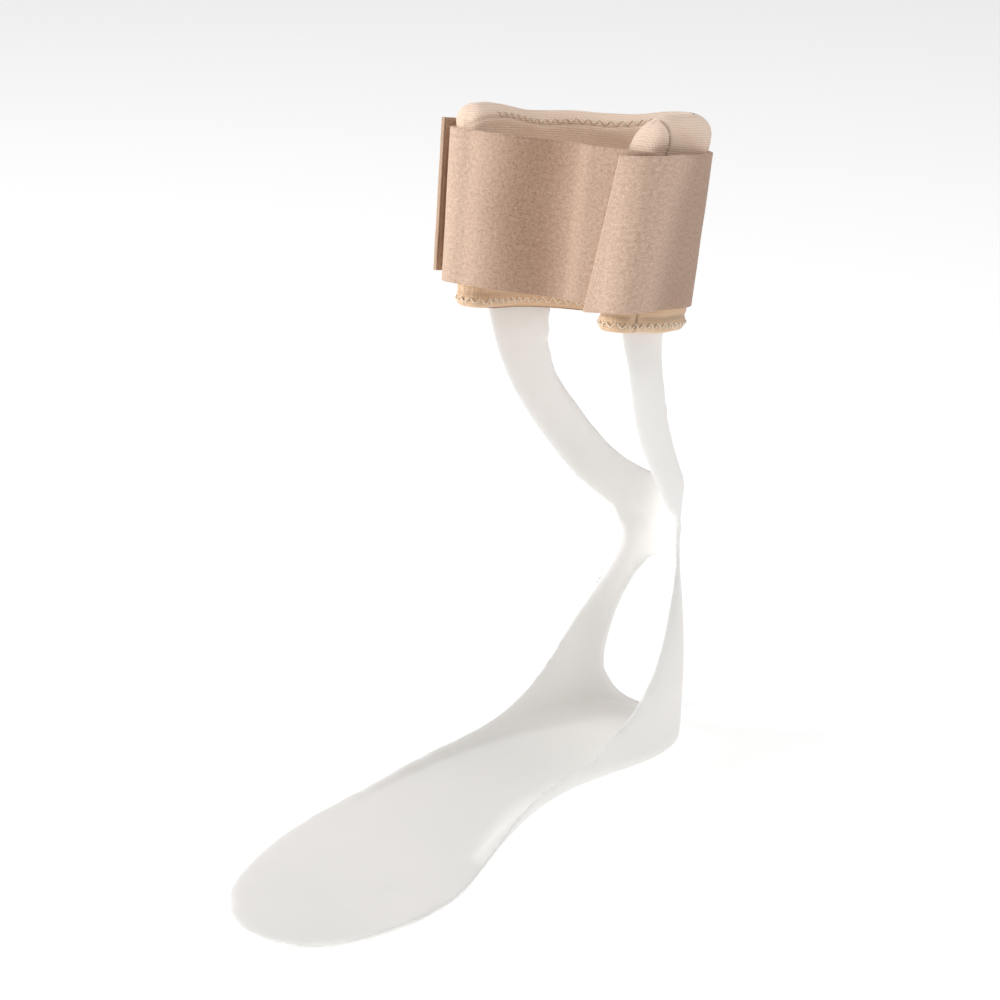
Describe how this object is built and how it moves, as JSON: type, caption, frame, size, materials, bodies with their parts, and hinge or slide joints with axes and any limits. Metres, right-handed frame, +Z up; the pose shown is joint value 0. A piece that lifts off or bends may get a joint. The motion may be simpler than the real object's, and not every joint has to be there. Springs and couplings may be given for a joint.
{
  "type": "ankle foot orthosis",
  "caption": "Moulded foot plate with heel walls and two uprights carrying a padded calf cuff closed by a wide strap.",
  "frame": {"origin": "underside of the heel seat, on the floor under the middle of the heel", "axes": "+Z up, -Y towards the toes, +X towards the inner (medial) side of the right foot"},
  "size_m": [0.1026, 0.2654, 0.286],
  "materials": {
    "shell_plastic": "milky translucent polypropylene, satin",
    "strap_cloth": "brushed loop laminate",
    "pad_knit": "smooth knit cover",
    "lining_terry": "fine ribbed terry",
    "foam": "open cell foam",
    "hook_tape": "hook tape",
    "thread": "sewing thread"
  },
  "bodies": {
    "foot_body": {"foot_shell": "shell_plastic"},
    "calf_body": {"calf_frame": "shell_plastic"},
    "pad_body": {"pad_foam": "foam", "pad_lining": "lining_terry", "pad_cover": "pad_knit", "pad_hem_outer": "pad_knit", "pad_hem_inner": "pad_knit", "hem_stitches": "thread", "top_stitches": "thread", "pad_top_roll": "lining_terry", "medial_wing_end": "lining_terry", "lateral_wing_end": "lining_terry", "strap_belt": "strap_cloth", "strap_anchor": "strap_cloth", "wrap_hook_patch": "hook_tape", "belt_stitches": "thread", "medial_wing_seam": "thread", "lateral_wing_seam": "thread"},
    "band_body": {"strap_band": "strap_cloth"},
    "flap_body": {"strap_flap": "strap_cloth", "flap_hook_patch": "hook_tape"}
  },
  "joints": [
    {"name": "ankle_flex", "type": "hinge", "parent": "foot_body", "child": "calf_body", "pos_m": [0, 0.028, 0.093], "axis": [1, 0, 0], "range_deg": [-10, 15], "stiffness_Nm_per_rad": 20},
    {"name": "pad_slide", "type": "slide", "parent": "calf_body", "child": "pad_body", "axis": [-0.0628, 0.2296, 0.9713], "range_m": [0, 0.1]},
    {"name": "strap_open", "type": "hinge", "parent": "pad_body", "child": "band_body", "pos_m": [0.02581, -0.04771, 0.24765], "axis": [0.0891, 0.2541, 0.9631], "range_deg": [0, 100]},
    {"name": "flap_peel", "type": "hinge", "parent": "pad_body", "child": "flap_body", "pos_m": [-0.04928, -0.01641, 0.23849], "axis": [0.0628, -0.2296, -0.9713], "range_deg": [0, 90]}
  ]
}
